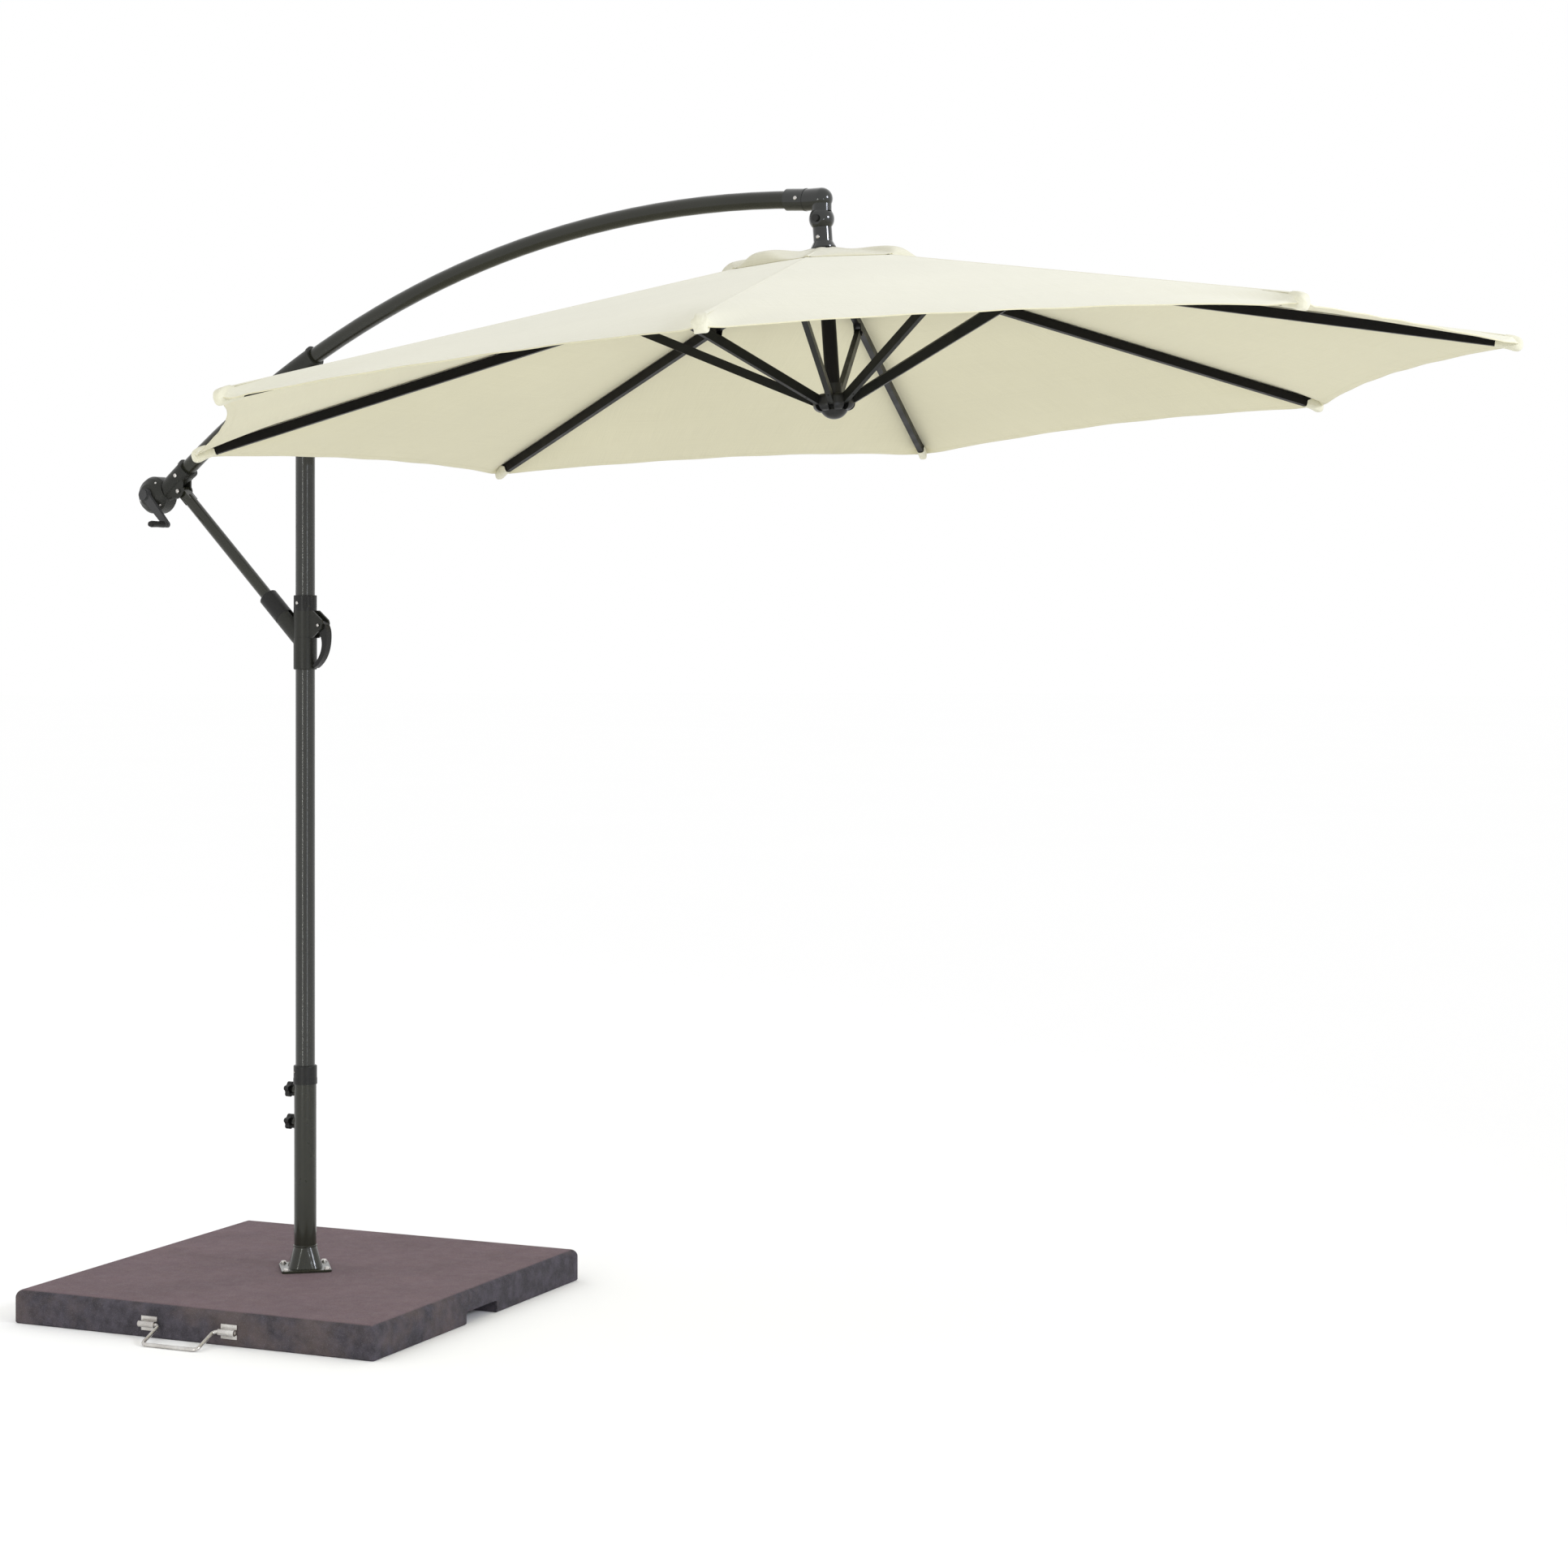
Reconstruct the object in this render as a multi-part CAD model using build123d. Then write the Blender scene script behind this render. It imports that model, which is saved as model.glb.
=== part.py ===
from build123d import *
import os
from math import asin, atan, cos, degrees, hypot, radians, sin, sqrt, tan

# Cantilever parasol. Millimetres, +Z up, +X from the pole towards the canopy.
# The origin is the centre of the base slab's underside, on the pole's axis.

# ---- driving dimensions -------------------------------------------------
SLAB_SIDE = 1000.0
SLAB_THICK = 80.0
SLAB_TURN = 8.4            # the loose slab stands turned a little under the pole
SLAB_EDGE_ROUND = 18.0
NOTCH_WIDE = 150.0
NOTCH_HIGH = 30.0
NOTCH_DEEP = 110.0

FLANGE_SIDE = 122.0
FLANGE_THICK = 6.0
FLANGE_HOLE_PITCH = 100.0
FLARE_HIGH = 52.0
BASE_TUBE_R = 27.5
BASE_TUBE_TOP = 552.0
COLLAR_TOP = 584.0
KNOB_HEIGHTS = {"lower": 440.0, "upper": 520.0}

POLE_R = 24.0
POLE_WALL = 2.0
POLE_FOOT = 150.3
POLE_TOP = 2232.0
RUN_GAP = 0.08             # radial gap of the running fits
CLEAR = 0.4                # gap between moving neighbours

ARM_PIVOT = (0.0, 2265.0)  # X and Z of the hinge on the pole head
ARM_R = 20.0
ARM_WALL = 2.5
ARM_BEND_R = 2702.0        # the arm is one circular arc
ARM_CROWN = (1264.0, 2635.0)
ARM_FOOT_X = -436.0
ARM_END_X = 1452.0
SLEEVE_R = 25.5
SLEEVE_FROM_X = -106.0
SLEEVE_TO_X = 32.0

CRANK_AXIS = (-494.0, 2004.0)
DRUM_CASE_R = 47.0
CRANK_REACH = 107.0
CRANK_SLOPE = 46.0

STRUT_TOP = (-406.0, 2012.0)
STRUT_FOOT = (-58.0, 1684.0)
STRUT_R = 15.0
STRUT_SOCKET_R = 24.0

RUNNER_LOW = 1563.0
RUNNER_HIGH = 1709.0
RUNNER_SEAM = 1643.0
RUNNER_R = 29.0
LATCH_PIVOT = (54.0, 1673.0)

HINGE = (1505.0, 2582.0)   # X and Z of the canopy's tilt hinge
HINGE_BALL_R = 28.5
ELBOW_R = 25.0
ELBOW_LEG_R = 22.4
HINGE_TO_APEX = 67.0
CANOPY_TILT = 4.5

CANOPY_R = 1500.0          # centre to fabric corner
CANOPY_DROP = 330.0        # apex to fabric corner, along the mast
HEM_HOLLOW = 45.0
FABRIC_THICK = 1.6
GORES = 8
RIB_OFFSET = 15.0          # rib centre line under the fabric
RIB_PIVOT_R = 32.0
RIB_LENGTH = 1486.0
RIB_WIDE = 14.0
RIB_HIGH = 22.0
RIB_WALL = 1.2
RIB_TIP = 42.0               # length of the slanted end inside the corner pocket
RIB_TIP_HIGH = 8.0
PIN_R = 3.0                  # pins of the ribs and their struts
BRACKET_AT = 430.0
BRACKET_DROP = 23.0
STRUT_WIDE = 12.0
STRUT_HIGH = 20.0
HUB_PIVOT_R = 34.0
HUB_DEPTH = 344.0
HUB_R = 47.0
HUB_CORE_R = 22.0
HUB_DOME_R = 34.0
MAST_R = 16.5
GUIDE_R = 14.0
VENT_R = 240.0
VENT_LIFT = 9.0

# ---- worked-out values --------------------------------------------------
GORE_TURN = 360.0 / GORES
RIB_ANGLES = [GORE_TURN * (n + 0.5) for n in range(GORES)]
RIB_SLOPE = degrees(atan(CANOPY_DROP / CANOPY_R))
GORE_MID_R = CANOPY_R * cos(radians(GORE_TURN / 2))
GORE_HALF_HEM = CANOPY_R * sin(radians(GORE_TURN / 2))
GORE_SLOPE = degrees(atan(CANOPY_DROP / GORE_MID_R))
RIB_PIVOT_DEPTH = RIB_PIVOT_R * tan(radians(RIB_SLOPE)) + RIB_OFFSET / cos(radians(RIB_SLOPE))
STRUT_LINE = hypot(STRUT_TOP[0] - STRUT_FOOT[0], STRUT_TOP[1] - STRUT_FOOT[1])
STRUT_SLOPE = degrees(asin((STRUT_TOP[1] - STRUT_FOOT[1]) / STRUT_LINE))
ARM_CENTRE = (ARM_CROWN[0], ARM_CROWN[1] - ARM_BEND_R)

tilt = radians(CANOPY_TILT)
APEX = (HINGE[0] + HINGE_TO_APEX * sin(tilt), HINGE[1] - HINGE_TO_APEX * cos(tilt))
CANOPY = Plane(
    origin=(APEX[0], 0, APEX[1]), x_dir=(cos(tilt), 0, sin(tilt)), z_dir=(-sin(tilt), 0, cos(tilt))
)
SLAB = Location((0, 0, 0), (0, 0, SLAB_TURN))
LOW = (Align.CENTER, Align.CENTER, Align.MIN)
FROM_X = (Align.MIN, Align.CENTER, Align.CENTER)


def bracket_point(slope_deg):
    """Radius and height of the strut bracket's pivot for a rib slope, in the canopy's frame."""
    slope = radians(slope_deg)
    return (
        RIB_PIVOT_R + BRACKET_AT * cos(slope) - BRACKET_DROP * sin(slope),
        -RIB_PIVOT_DEPTH - BRACKET_AT * sin(slope) - BRACKET_DROP * cos(slope),
    )


BRACKET_OPEN = bracket_point(RIB_SLOPE)
STAY_LENGTH = hypot(BRACKET_OPEN[0] - HUB_PIVOT_R, HUB_DEPTH + BRACKET_OPEN[1])
STAY_SLOPE = degrees(asin((HUB_DEPTH + BRACKET_OPEN[1]) / STAY_LENGTH))


# ---- shape helpers ------------------------------------------------------
def rod(start, end, radius):
    """A solid round bar between two points."""
    start, end = Vector(*start), Vector(*end)
    way = end - start
    return Plane(origin=start, z_dir=way) * Cylinder(radius, way.length, align=LOW)


def pin(x, z, radius, y_low, y_high):
    """A round bar along Y."""
    return rod((x, y_low, z), (x, y_high, z), radius)


def upright(radius, low, high, x=0.0):
    """A round bar along Z."""
    return Pos(x, 0, low) * Cylinder(radius, high - low, align=LOW)


def plate(points, y_low, y_high):
    """An outline of X, Z points, as thick as the Y range."""
    outline = Polygon(*points, align=None)
    return Plane.XZ.offset(-y_high) * extrude(outline, y_high - y_low, dir=(0, 0, 1))


def arm_point(x, off=0.0):
    """X and Z of the point of the arm's arc at x, moved off outwards."""
    turn = asin((x - ARM_CENTRE[0]) / ARM_BEND_R)
    reach = ARM_BEND_R + off
    return (ARM_CENTRE[0] + reach * sin(turn), ARM_CENTRE[1] + reach * cos(turn))


def along_arm(x_from, x_to, radius):
    """A round bar that follows the arm's arc."""
    first = degrees(asin((x_from - ARM_CENTRE[0]) / ARM_BEND_R))
    last = degrees(asin((x_to - ARM_CENTRE[0]) / ARM_BEND_R))
    profile = Plane.YZ * Pos(0, ARM_BEND_R, 0) * Circle(radius)
    ring = revolve(profile, axis=Axis.Y, revolution_arc=last - first)
    return Pos(ARM_CENTRE[0], 0, ARM_CENTRE[1]) * Rot(0, first, 0) * ring


def canopy_place(angle):
    """The canopy's frame turned to one rib: X outwards, Z up the mast."""
    return CANOPY.location * Rot(0, 0, angle)


# ---- base ---------------------------------------------------------------
def base_slab():
    slab = Box(SLAB_SIDE, SLAB_SIDE, SLAB_THICK, align=LOW)
    slab = fillet(slab.edges().filter_by(Axis.Z), 6.0)
    slab = fillet(slab.edges().group_by(Axis.Z)[-1], SLAB_EDGE_ROUND)
    slab = chamfer(slab.edges().group_by(Axis.Z)[0], 3.0)
    notch = Pos(SLAB_SIDE / 2, 0, 0) * Box(2 * NOTCH_DEEP, NOTCH_WIDE, 2 * NOTCH_HIGH)
    slab = SLAB * (slab - fillet(notch.edges().filter_by(Axis.X), 8.0))
    for x, y in flange_holes():
        slab -= Pos(x, y, SLAB_THICK - 45) * Cylinder(4.1, 50, align=LOW)
    return slab


def flange_holes():
    reach = FLANGE_HOLE_PITCH / sqrt(2)
    return [(reach, 0), (0, reach), (-reach, 0), (0, -reach)]


def base_tube():
    deck = SLAB_THICK + FLANGE_THICK
    flange = extrude(Rot(0, 0, 45) * RectangleRounded(FLANGE_SIDE, FLANGE_SIDE, 10), FLANGE_THICK)
    flange = Pos(0, 0, SLAB_THICK) * chamfer(flange.edges().group_by(Axis.Z)[-1], 1.2)
    for x, y in flange_holes():
        flange -= Pos(x, y, SLAB_THICK) * Cylinder(4.5, 20)
    foot = Pos(0, 0, deck) * Rot(0, 0, 45) * RectangleRounded(84, 84, 30)
    neck = Pos(0, 0, deck + FLARE_HIGH) * Circle(BASE_TUBE_R)
    flare = loft([foot, neck])
    tube = upright(BASE_TUBE_R, deck + FLARE_HIGH, BASE_TUBE_TOP)
    weld = Pos(0, 0, deck + FLARE_HIGH) * Torus(BASE_TUBE_R, 2.2)
    body = flange + flare + tube + weld
    for height in KNOB_HEIGHTS.values():
        body += rod((-BASE_TUBE_R + 2, 0, height), (-BASE_TUBE_R - 6, 0, height), 11)
    body -= upright(POLE_R + RUN_GAP, POLE_FOOT - CLEAR, BASE_TUBE_TOP + 1)
    body -= upright(POLE_R - 4, SLAB_THICK - 1, POLE_FOOT)
    for height in KNOB_HEIGHTS.values():
        body -= rod((0, 0, height), (-60, 0, height), 4.1)
    return body


def base_screws():
    deck = SLAB_THICK + FLANGE_THICK
    screws = []
    for x, y in flange_holes():
        head = Cylinder(8.5, 1.6, align=LOW) + Pos(0, 0, 1.6) * dome_head(6.8, 4.2)
        screw = Pos(x, y, deck) * (head + Pos(0, 0, -40) * Cylinder(4.0, 41, align=LOW))
        screws.append(screw)
    grub = rod((0, -POLE_R - 0.6, 568), (0, -31, 568), 2.6)
    screws.append(Rot(0, 0, -25) * grub)
    return screws


def dome_head(radius, high):
    head = Cylinder(radius, high, align=LOW)
    return fillet(head.edges().group_by(Axis.Z)[-1], high * 0.7)


def tube_collar():
    ring = upright(29.0, BASE_TUBE_TOP, COLLAR_TOP) + upright(29.6, BASE_TUBE_TOP - 14, BASE_TUBE_TOP)
    ring = fillet(ring.edges().group_by(Axis.Z)[-1], 3.0)
    ring -= upright(BASE_TUBE_R + 0.02, BASE_TUBE_TOP - 20, BASE_TUBE_TOP)
    ring -= upright(POLE_R + RUN_GAP, BASE_TUBE_TOP - 1, COLLAR_TOP + 1)
    return ring - Rot(0, 0, -25) * rod((0, 0, 568), (0, -40, 568), 2.62)


def clamp_knob(height):
    """A five-lobed knob with its screw, which presses on the pole through the base tube."""
    outline = Circle(15.0)
    for n in range(5):
        outline += Rot(0, 0, 72 * n) * Pos(13.0, 0) * Circle(6.5)
    outline = fillet(outline.vertices(), 2.5)
    knob = Pos(0, 0, -7.5) * extrude(outline, 15.0)
    knob = fillet(knob.edges().group_by(Axis.Z)[-1], 2.0)
    knob += Pos(0, 0, 8) * Cylinder(9.0, 5.0) + Pos(0, 0, -10) * Cylinder(9.0, 5.0)
    knob = Pos(-BASE_TUBE_R - 20, 0, height) * Rot(0, -90, 0) * knob
    return knob + rod((-POLE_R - CLEAR, 0, height), (-45, 0, height), 4.0)


def handle_bushes():
    """Two pivot bushes on the slab's side for the carrying handle."""
    bushes = []
    for side in (-1, 1):
        middle = side * 111.0
        bush = rod((middle - 22, -512, 34), (middle + 22, -512, 34), 7.5)
        web = Pos(middle, -506, 34) * Box(44, 12, 13)
        foot = Pos(middle, -501.5, 34) * Box(44, 3, 34)
        bush = bush + web + foot
        bush -= rod((middle - 30, -512, 34), (middle + 30, -512, 34), 4.5 + RUN_GAP)
        bushes.append(SLAB * bush)
    return bushes


def carry_handle():
    """A bent round bar, hinged in the bushes, that rests on the ground."""
    reach, half, bend = 76.0, 76.0, 11.0
    drop = degrees(asin((34 - 4.6) / reach))
    path = FilletPolyline(
        (131, 0, 0), (half, 0, 0), (half, -reach, 0), (-half, -reach, 0), (-half, 0, 0), (-131, 0, 0),
        radius=bend,
    )
    section = Plane(origin=(131, 0, 0), z_dir=(-1, 0, 0)) * Circle(4.5)
    bar = sweep(section, path=path)
    return SLAB * Pos(0, -512, 34) * Rot(drop, 0, 0) * bar


# ---- pole ---------------------------------------------------------------
def upper_pole():
    return upright(POLE_R, POLE_FOOT, POLE_TOP) - upright(POLE_R - POLE_WALL, POLE_FOOT - 1, POLE_TOP + 1)


def pole_head():
    """A cast plug in the pole's end, with two cheeks for the arm's hinge."""
    px, pz = ARM_PIVOT
    plug = upright(POLE_R - POLE_WALL - 0.05, POLE_TOP - 60, POLE_TOP)
    plug += upright(POLE_R + 2.5, POLE_TOP, POLE_TOP + 8)
    for side in (-1, 1):
        low, high = sorted((side * 10.6, side * 18.0))
        cheek = plate([(-17, POLE_TOP), (17, POLE_TOP), (17, pz), (-17, pz)], low, high)
        plug += cheek + pin(px, pz, 17, low, high)
    return plug - pin(px, pz, 6.0 + RUN_GAP, -30, 30)


# ---- arm ----------------------------------------------------------------
def arm_tube():
    return along_arm(ARM_FOOT_X, ARM_END_X, ARM_R) - along_arm(ARM_FOOT_X - 1, ARM_END_X + 1, ARM_R - ARM_WALL)


def arm_sleeve():
    """The saddle that grips the arm and hangs it from the hinge bolt."""
    px, pz = ARM_PIVOT
    sleeve = along_arm(SLEEVE_FROM_X, SLEEVE_TO_X, SLEEVE_R)
    sleeve += along_arm(SLEEVE_FROM_X, SLEEVE_FROM_X + 6, SLEEVE_R + 2.5)
    sleeve += along_arm(SLEEVE_TO_X - 6, SLEEVE_TO_X, SLEEVE_R + 2.5)
    left, right = arm_point(-66, -12), arm_point(20, -12)
    lug = plate([left, right, (px + 15, pz), (px - 13, pz - 8)], -10, 10)
    lug += pin(px, pz, 15, -10, 10)
    sleeve += lug
    sleeve -= along_arm(SLEEVE_FROM_X - 1, SLEEVE_TO_X + 1, ARM_R + 0.03)
    return sleeve - pin(px, pz, 6.02, -30, 30)


def arm_bolts():
    """The bolt of the arm's hinge and the bolt of the canopy's tilt hinge."""
    bolts = []
    for (x, z), radius, reach in ((ARM_PIVOT, 6.0, 18.5), (HINGE, 5.0, 24.52)):
        bolt = pin(x, z, radius, -reach - 4, reach + 4)
        for side in (-1, 1):
            low, high = sorted((side * reach, side * (reach + 5)))
            bolt += pin(x, z, radius + 3.2, low, high)
        bolts.append(bolt)
    return bolts


def drum_room():
    return pin(*CRANK_AXIS, DRUM_CASE_R - 4, -40, 22)


def crank_housing():
    """The winding drum's rear shell, cast in one with the arm's socket and the strut's lugs."""
    tx, tz = STRUT_TOP
    shell = pin(*CRANK_AXIS, DRUM_CASE_R, -8, 26)
    shell = fillet(shell.edges().group_by(Axis.Y)[-1], 6.0)
    socket = along_arm(-470, -388, SLEEVE_R) + along_arm(-394, -388, SLEEVE_R + 2.2)
    low, high = arm_point(-455, -30), arm_point(-455, 14)
    web = plate([(-500, 1985), low, arm_point(-425, -22), arm_point(-425, 14), high, (-500, 2030)], -8, 15)
    shell += socket + web
    for side in (-1, 1):
        y_low, y_high = sorted((side * 12.9, side * 18.0))
        cheek = pin(tx, tz, 16, y_low, y_high)
        ear = [(tx - 2, tz - 16), (tx + 12, tz + 10), arm_point(-400, -10), arm_point(-450, -10), (tx - 38, tz - 16)]
        shell += cheek + plate(ear, y_low, y_high)
    shell -= drum_room()
    shell -= along_arm(ARM_FOOT_X - 8, -380, ARM_R + 0.03)
    shell -= pin(tx, tz, 16.5, -12.9, 12.9)
    shell -= strut_bar(-4, 60, STRUT_R + 1.5)
    shell -= pin(tx, tz, 5.02, -30, 30)
    shell -= pin(*CRANK_AXIS, 7 + RUN_GAP, 20, 30)
    return shell


def housing_cover():
    """The domed front shell over the winding drum."""
    profile = make_face(
        Polyline((7.08, -8.3), (47, -8.3), (47, -14), (41, -25), (27, -36), (19, -38), (7.08, -38), close=True)
    )
    dome = revolve(Plane.XY * profile, axis=Axis.Y)
    room = make_face(Polyline((0, -8), (43.4, -8), (43, -13), (38, -22), (25, -32), (0, -34), close=True))
    dome -= revolve(Plane.XY * room, axis=Axis.Y)
    dome = Pos(CRANK_AXIS[0], 0, CRANK_AXIS[1]) * dome
    return dome - along_arm(-485, -400, SLEEVE_R + 0.3) - pin(*STRUT_TOP, 40, -30, -8)


def rope_drum():
    """The winding drum and its shaft."""
    drum = pin(*CRANK_AXIS, 18, -14, 18)
    drum += pin(*CRANK_AXIS, 38, -14, -10.5) + pin(*CRANK_AXIS, 38, 14.5, 18)
    return drum + pin(*CRANK_AXIS, 7.0, -46, 25)


def crank_end():
    slope = radians(CRANK_SLOPE)
    return (CRANK_AXIS[0] + CRANK_REACH * cos(slope), CRANK_AXIS[1] - CRANK_REACH * sin(slope))


def crank_arm():
    """The hand crank's flat arm, with the round cap over the shaft's end."""
    hub = pin(*CRANK_AXIS, 15.5, -52, -39) + pin(*CRANK_AXIS, 13.5, -55, -52)
    blade = plate([(0, -12), (CRANK_REACH, -8), (CRANK_REACH, 8), (0, 12)], -50, -41)
    blade += pin(CRANK_REACH, 0, 8, -50, -41)
    blade = Pos(CRANK_AXIS[0], 0, CRANK_AXIS[1]) * Rot(0, CRANK_SLOPE, 0) * blade
    return hub + blade - pin(*CRANK_AXIS, 7.02, -46.1, -30) - pin(*crank_end(), 3.0 + RUN_GAP, -60, -38)


def crank_grip():
    """The turning hand grip with its pin."""
    x, z = crank_end()
    profile = make_face(
        Polyline((0, -50.5), (7.5, -50.5), (8.5, -58), (7.8, -80), (8.5, -100), (6.5, -107), (0, -108), close=True)
    )
    grip = Pos(x, 0, z) * revolve(profile, axis=Axis.Y)
    return grip + pin(x, z, 3.0, -51, -40) + pin(x, z, 5.0, -40.6, -38.6)


# ---- strut and runner ---------------------------------------------------
def strut_place():
    """A frame at the strut's top pivot with X down the strut."""
    return Pos(STRUT_TOP[0], 0, STRUT_TOP[1]) * Rot(0, STRUT_SLOPE, 0)


def strut_bar(start, end, radius):
    return strut_place() * rod((start, 0, 0), (end, 0, 0), radius)


def strut_tube():
    """The round strut, with a flattened eye at the crank housing."""
    tube = rod((26, 0, 0), (STRUT_LINE - 46, 0, 0), STRUT_R)
    tube -= rod((46, 0, 0), (STRUT_LINE - 40, 0, 0), STRUT_R - 2)
    eye = Box(40, 25, 24, align=FROM_X) + pin(0, 0, 12, -12.5, 12.5)
    return strut_place() * (tube + eye) + pin(*STRUT_TOP, 5.0, -21.5, 21.5)


def strut_socket():
    """The sleeve on the strut's foot, with the tongue that sits in the runner's fork."""
    start, seam = STRUT_LINE - 88, STRUT_LINE - 14
    sleeve = rod((start, 0, 0), (seam, 0, 0), STRUT_SOCKET_R)
    sleeve = chamfer(sleeve.edges().group_by(Axis.X)[0], 2.5)
    sleeve -= rod((start - 1, 0, 0), (STRUT_LINE - 45, 0, 0), STRUT_R + 0.03)
    tongue = Pos(seam - 2, 0, 0) * Box(16, 12, 20, align=FROM_X) + pin(STRUT_LINE, 0, 10, -6, 6)
    return strut_place() * (sleeve + tongue)


def runner_body():
    """The sliding sleeve, with the fork for the strut and the ears for the latch lever."""
    body = upright(RUNNER_R, RUNNER_LOW, RUNNER_HIGH)
    body = fillet(body.edges().group_by(Axis.Z)[0], 3.0)
    body -= upright(RUNNER_R + 2, RUNNER_SEAM - 0.8, RUNNER_SEAM + 0.8) - upright(
        RUNNER_R - 0.9, RUNNER_SEAM - 2, RUNNER_SEAM + 2
    )
    ear = [(10, 1709), (35, 1709), (64, 1686), (67, 1678), (64, 1664), (50, 1655), (33, 1641), (10, 1641)]
    for side in (-1, 1):
        y_low, y_high = sorted((side * 9.5, side * 15.0))
        body += plate(ear, y_low, y_high)
    body += runner_branch()
    body -= upright(POLE_R + RUN_GAP, RUNNER_LOW - 1, RUNNER_HIGH + 1)
    return body - pin(*LATCH_PIVOT, 4.0 + RUN_GAP, -30, 30)


def runner_branch():
    """The round stub that takes the strut, forked and cut back to let the strut swing."""
    seam = STRUT_LINE - 14 + CLEAR
    stub = rod((seam, 0, 0), (STRUT_LINE + 85, 0, 0), STRUT_SOCKET_R)
    swing_room = plate([(seam - 1, 0), (seam - 1, -40), (seam + 13, -40)], -40, 40)
    fork = Pos(seam - 5, 0, 0) * Box(62, 12 + 4 * CLEAR, 60, align=FROM_X)
    stub = strut_place() * (stub - swing_room - fork)
    return stub & Pos(0, 0, RUNNER_LOW + 20) * Box(400, 100, RUNNER_HIGH - RUNNER_LOW - 20, align=LOW)


def runner_collar():
    """The ribbed lock ring on top of the runner."""
    collar = upright(28.5, RUNNER_HIGH, RUNNER_HIGH + 38)
    collar = fillet(collar.edges().group_by(Axis.Z)[-1], 2.0)
    for n in range(18):
        groove = Pos(29.2, 0, RUNNER_HIGH + 7) * Cylinder(1.6, 40, align=LOW)
        collar -= Rot(0, 0, 20 * n) * groove
    return collar - upright(POLE_R + RUN_GAP, RUNNER_HIGH - 1, RUNNER_HIGH + 40)


def latch_lever():
    """The D-shaped release lever with its hinge pin."""
    x, z = LATCH_PIVOT
    with BuildPart() as lever:
        with BuildSketch(Plane.XZ):
            with BuildLine():
                outer = Spline((x + 4, z + 11), (x + 18, z - 2), (x + 23, z - 34), (x + 13, z - 74), (x - 17, z - 106))
                foot = Line(outer @ 1, (x - 23, z - 99))
                inner = Spline(foot @ 1, (x - 2, z - 76), (x + 6, z - 40), (x - 2, z - 18), (x - 8, z - 9))
                Line(inner @ 1, outer @ 0)
            make_face()
        extrude(amount=9.0, both=True)
    return lever.part + pin(x, z, 11, -9, 9) + pin(x, z, 4.0, -17, 17)


# ---- elbow and mast -----------------------------------------------------
def elbow():
    """The cast elbow from the arm's end down to the tilt hinge."""
    hx, hz = HINGE
    level = arm_point(1470)[1]
    casting = rod((1460, 0, level), (hx, 0, level), ELBOW_R) + Pos(hx, 0, level) * Sphere(ELBOW_R)
    casting += upright(ELBOW_LEG_R, hz + 10, level, hx)
    casting += along_arm(1416, 1466, 25.0) + along_arm(1463, 1466, 25.8)
    ball = Pos(hx, 0, hz) * Sphere(HINGE_BALL_R)
    casting += ball & Pos(hx, 0, hz) * Box(60, 49, 60)
    slot = Pos(hx, 0, hz) * (Sphere(HINGE_BALL_R + CLEAR) & Box(60, 17.6, 60))
    casting -= slot
    casting -= along_arm(1410, ARM_END_X + 0.5, ARM_R + 0.03)
    casting -= pin(hx, hz, 5.02, -40, 40)
    casting -= rod((1440, 0, level), (hx, 0, level), 10)
    return casting - upright(10, hz + 20, level, hx)


def mast_socket():
    """The flared socket under the tilt hinge, modelled along the mast with the apex at Z 0."""
    ball = Pos(0, 0, HINGE_TO_APEX)
    socket = upright(21.5, 14, HINGE_TO_APEX - 12)
    flare = loft([Pos(0, 0, 4) * Circle(28), Pos(0, 0, 16) * Circle(21.5)])
    socket += flare + upright(28, 2, 4) + upright(14, -12, 4)
    socket -= ball * Sphere(HINGE_BALL_R + CLEAR)
    tongue = ball * (Sphere(HINGE_BALL_R) & Box(60, 16.8, 60))
    socket += tongue & upright(40, HINGE_TO_APEX - 40, HINGE_TO_APEX + 14)
    socket += upright(8.2, HINGE_TO_APEX - 35, HINGE_TO_APEX - 15)
    socket = CANOPY.location * socket
    return socket - pin(*HINGE, 5.0 + RUN_GAP, -40, 40)


def upper_hub():
    """The slotted crown that carries the ribs, with the guide tube for the lower hub."""
    hub = upright(45, -37, -9)
    hub = fillet(hub.edges().filter_by(GeomType.CIRCLE), 3.0)
    for angle in RIB_ANGLES:
        slot = Pos(20, 0, -14) * Box(40, 8.8, 60, align=(Align.MIN, Align.CENTER, Align.MAX))
        hub -= Rot(0, 0, angle) * slot
        hub -= Rot(0, 0, angle) * pin(RIB_PIVOT_R, -RIB_PIVOT_DEPTH, 3.0 + RUN_GAP, -8.6, 8.6)
    hub += upright(GUIDE_R, -HUB_DEPTH + 10, -30)
    hub -= upright(GUIDE_R + 0.02, -13, -5)
    hub -= upright(GUIDE_R - 2, -HUB_DEPTH, -20)
    return CANOPY.location * hub


def mast_tube():
    """The tube that slides over the guide and carries the lower hub."""
    tube = upright(MAST_R, -HUB_DEPTH - 8, -38) - upright(GUIDE_R + RUN_GAP, -HUB_DEPTH - 9, -37)
    return CANOPY.location * tube


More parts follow.
